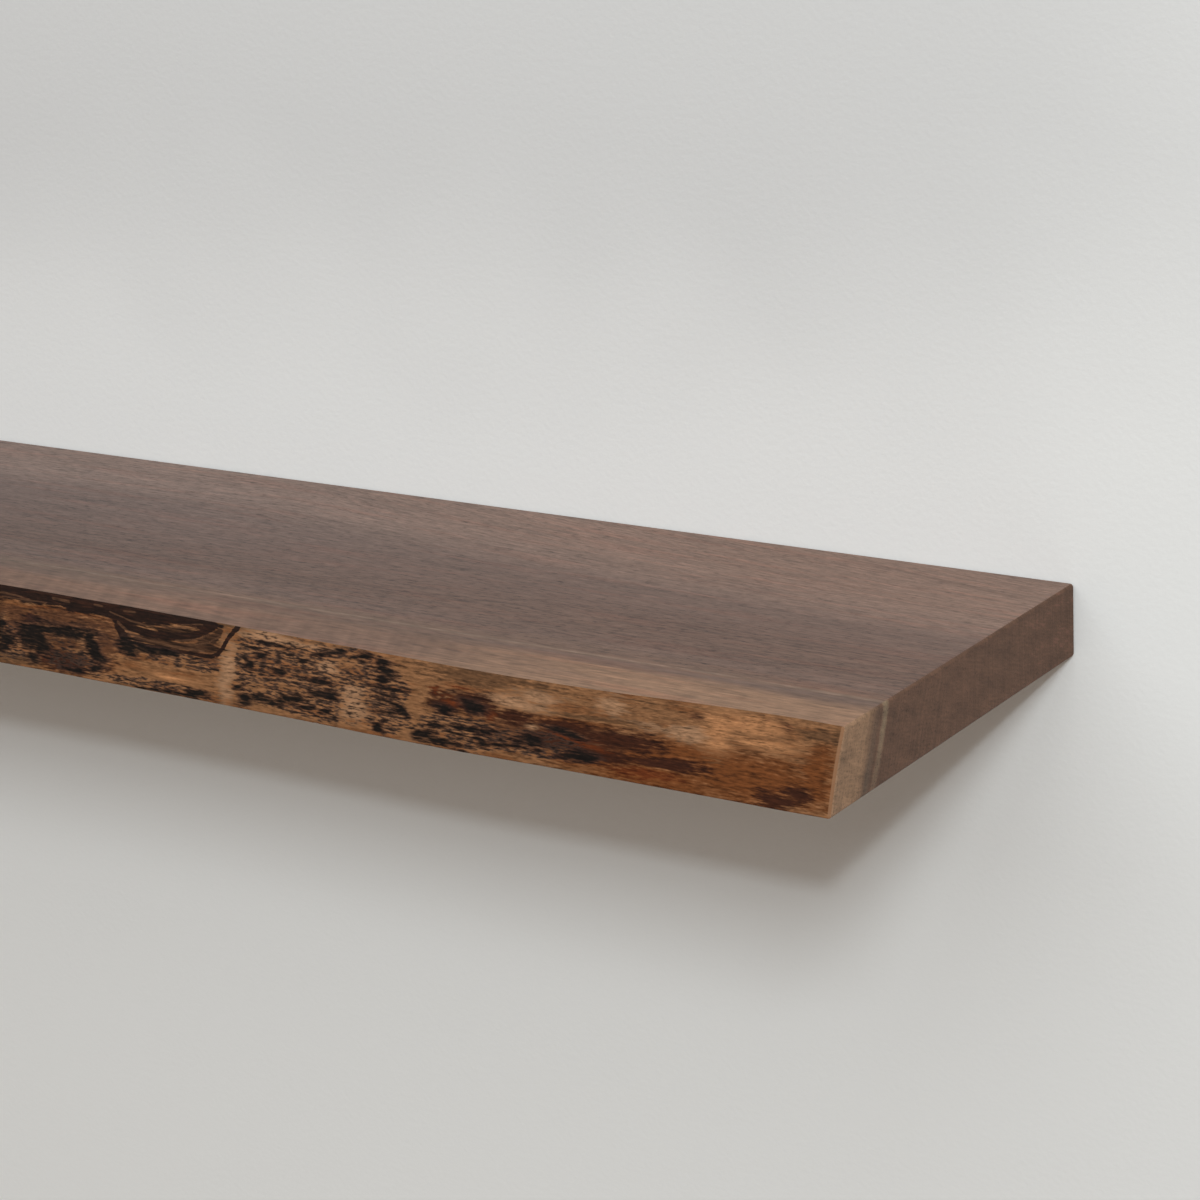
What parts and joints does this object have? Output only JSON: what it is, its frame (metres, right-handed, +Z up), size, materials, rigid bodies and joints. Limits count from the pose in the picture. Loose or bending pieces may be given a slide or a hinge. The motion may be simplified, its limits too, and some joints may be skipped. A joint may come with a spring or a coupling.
{
  "type": "floating wall shelf",
  "caption": "Thick walnut wall shelf with a natural front edge, sliding onto steel rods of a hidden wall plate and locked by set screws from below.",
  "frame": {"origin": "in the wall plane, at the middle of the row of wall screws, which is half the slab's thickness and length", "axes": "+X along the shelf to its right end as seen from the room, +Y into the wall, +Z up; the live edge faces -Y"},
  "size_m": [1.22, 0.3462, 0.042],
  "materials": {
    "walnut": "oiled satin walnut, natural edge with dark stains",
    "mill_scale_steel": "hot-rolled bar with mill scale",
    "bright_steel": "cold-drawn bright bar",
    "weld_metal": "plug weld, ground flush",
    "zinc_screw": "yellow zinc plated",
    "insert_brass": "turned brass",
    "black_oxide_steel": "black oxide"
  },
  "bodies": {
    "bracket": {"wall_plate": "mill_scale_steel", "support_rod_1": "bright_steel", "support_rod_2": "bright_steel", "support_rod_3": "bright_steel", "support_rod_4": "bright_steel", "support_rod_5": "bright_steel", "support_rod_6": "bright_steel", "rod_weld_1": "weld_metal", "rod_weld_2": "weld_metal", "rod_weld_3": "weld_metal", "rod_weld_4": "weld_metal", "rod_weld_5": "weld_metal", "rod_weld_6": "weld_metal", "wall_screw_1": "zinc_screw", "wall_screw_2": "zinc_screw", "wall_screw_3": "zinc_screw"},
    "shelf": {"live_edge_slab": "walnut", "lock_insert_1": "insert_brass", "lock_insert_2": "insert_brass"},
    "set_screw_1": {"lock_screw_1": "black_oxide_steel"},
    "set_screw_2": {"lock_screw_2": "black_oxide_steel"}
  },
  "joints": [
    {"name": "slab_slide", "type": "slide", "parent": "bracket", "child": "shelf", "axis": [0, -1, 0], "range_m": [0, 0.18]},
    {"name": "lock_screw_1_back_out", "type": "slide", "parent": "shelf", "child": "set_screw_1", "axis": [0, 0, -1], "range_m": [0, 0.003]},
    {"name": "lock_screw_2_back_out", "type": "slide", "parent": "shelf", "child": "set_screw_2", "axis": [0, 0, -1], "range_m": [0, 0.003]}
  ]
}
